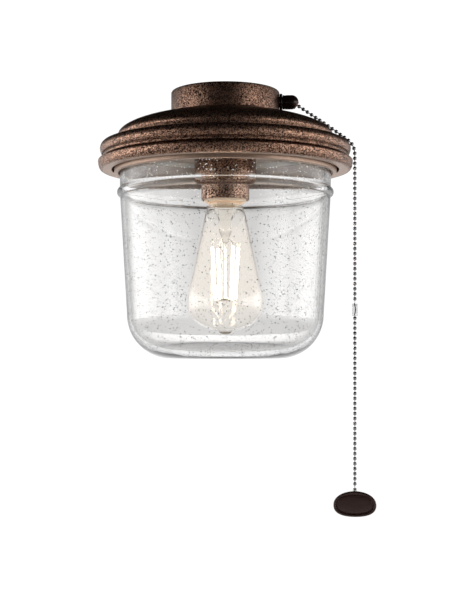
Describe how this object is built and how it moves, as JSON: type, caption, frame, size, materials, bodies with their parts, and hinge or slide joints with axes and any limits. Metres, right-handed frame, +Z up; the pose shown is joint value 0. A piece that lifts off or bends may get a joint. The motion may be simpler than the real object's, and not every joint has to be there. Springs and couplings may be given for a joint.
{
  "type": "ceiling fan light kit",
  "caption": "Light kit for a ceiling fan: round collar and stepped pan over a clear seeded-glass jar with a filament lamp, worked by a bead pull chain with an oval fob.",
  "frame": {"origin": "centre of the mounting plate's top face, where the kit meets the fan", "axes": "+Z up along the lamp's axis, +X towards the pull-chain nozzle, +Y to the back"},
  "size_m": [0.2338, 0.2142, 0.3571],
  "materials": {
    "weathered_copper": "weathered copper powder coat, brown with fine dark mottling",
    "tan_steel": "thin even tan-brown coat on pressed steel",
    "dark_bronze": "gloss dark bronze, nearly black",
    "zinc_steel": "bright zinc plate",
    "chain_steel": "polished gunmetal steel beads",
    "brass": "thin pressed brass",
    "seeded_glass": "clear glass with small seeds and bubbles",
    "lamp_glass": "thin clear lamp glass",
    "clear_plastic": "clear moulded plastic",
    "cream_phenolic": "cream moulded insulator",
    "black_plastic": "black moulded plastic",
    "white_plastic": "white moulded plastic",
    "green_finish": "green insulation and green screw finish",
    "silicone": "off-white silicone",
    "phosphor": "yellow phosphor, lit warm white"
  },
  "bodies": {
    "housing": {"mounting_plate": "zinc_steel", "collar": "weathered_copper", "wire_grommet": "black_plastic", "plate_screw_1": "zinc_steel", "plate_screw_2": "zinc_steel", "plate_screw_3": "zinc_steel", "plate_nut_1": "zinc_steel", "plate_nut_2": "zinc_steel", "plate_nut_3": "zinc_steel", "lid_pan": "weathered_copper", "fitter_pan": "tan_steel", "jar_gasket": "silicone", "threaded_nipple": "brass", "upper_nut": "zinc_steel", "spacer_tube": "zinc_steel", "socket_cup": "weathered_copper", "lock_washer": "zinc_steel", "lower_nut": "zinc_steel", "lampholder": "cream_phenolic", "screw_shell": "brass", "centre_contact": "brass", "switch_case": "black_plastic", "switch_cover": "black_plastic", "spool_pin": "zinc_steel", "return_spring": "zinc_steel", "contact_blade_1": "brass", "contact_blade_2": "brass", "switch_bushing": "zinc_steel", "ring_nut": "dark_bronze", "chain_nozzle": "dark_bronze", "supply_connector": "white_plastic", "white_lead": "white_plastic", "black_lead": "black_plastic", "switched_lead": "black_plastic", "ground_lead": "green_finish", "ground_screw": "green_finish"},
    "jar": {"glass_jar": "seeded_glass"},
    "bulb": {"bulb_base": "brass", "base_insulator": "black_plastic", "base_contact": "zinc_steel", "bulb_glass": "lamp_glass", "bulb_stem": "lamp_glass", "filament_1": "phosphor", "filament_2": "phosphor", "filament_3": "phosphor", "filament_4": "phosphor", "filament_wire_1": "zinc_steel", "filament_wire_2": "zinc_steel", "filament_wire_3": "zinc_steel", "filament_wire_4": "zinc_steel", "filament_foot": "zinc_steel"},
    "spool": {"ratchet_spool": "brass"},
    "chain_tail": {"chain_tail": "chain_steel"},
    "chain_lead": {"chain_lead": "chain_steel"},
    "chain_drop": {"chain_drop_upper": "chain_steel", "chain_coupling": "clear_plastic", "chain_drop_lower": "chain_steel"},
    "fob": {"fob": "dark_bronze", "fob_ferrule": "zinc_steel"}
  },
  "joints": [
    {"name": "pull", "type": "slide", "parent": "housing", "child": "chain_drop", "axis": [0, 0, -1], "range_m": [0, 0.009], "stiffness_N_per_m": 1200, "springref_m": -0.002},
    {"name": "lead_slide", "type": "slide", "parent": "chain_drop", "child": "chain_lead", "axis": [0.887, 0, 0.4618], "range_m": [0, 0.0085]},
    {"name": "tail_slide", "type": "slide", "parent": "housing", "child": "chain_tail", "axis": [1, 0, 0], "range_m": [0, 0.0092]},
    {"name": "spool_turn", "type": "hinge", "parent": "housing", "child": "spool", "pos_m": [0.029, 0, -0.014], "axis": [0, 1, 0], "range_deg": [0, 109]},
    {"name": "fob_turn", "type": "hinge", "parent": "chain_drop", "child": "fob", "pos_m": [0.1088, 0, -0.338], "axis": [0, 0, 1], "continuous": true},
    {"name": "jar_twist", "type": "hinge", "parent": "housing", "child": "jar", "pos_m": [0, 0, -0.06], "axis": [0, 0, 1], "range_deg": [0, 30]},
    {"name": "bulb_unscrew", "type": "hinge", "parent": "housing", "child": "bulb", "pos_m": [0, 0, -0.08], "axis": [0, 0, -1], "range_deg": [0, 1620]}
  ],
  "couplings": [
    {"joint": "lead_slide", "follows": "pull", "ratio": 0.9235},
    {"joint": "tail_slide", "follows": "pull", "ratio": 1},
    {"joint": "spool_turn", "follows": "pull", "rad_per_m": 208.33}
  ]
}
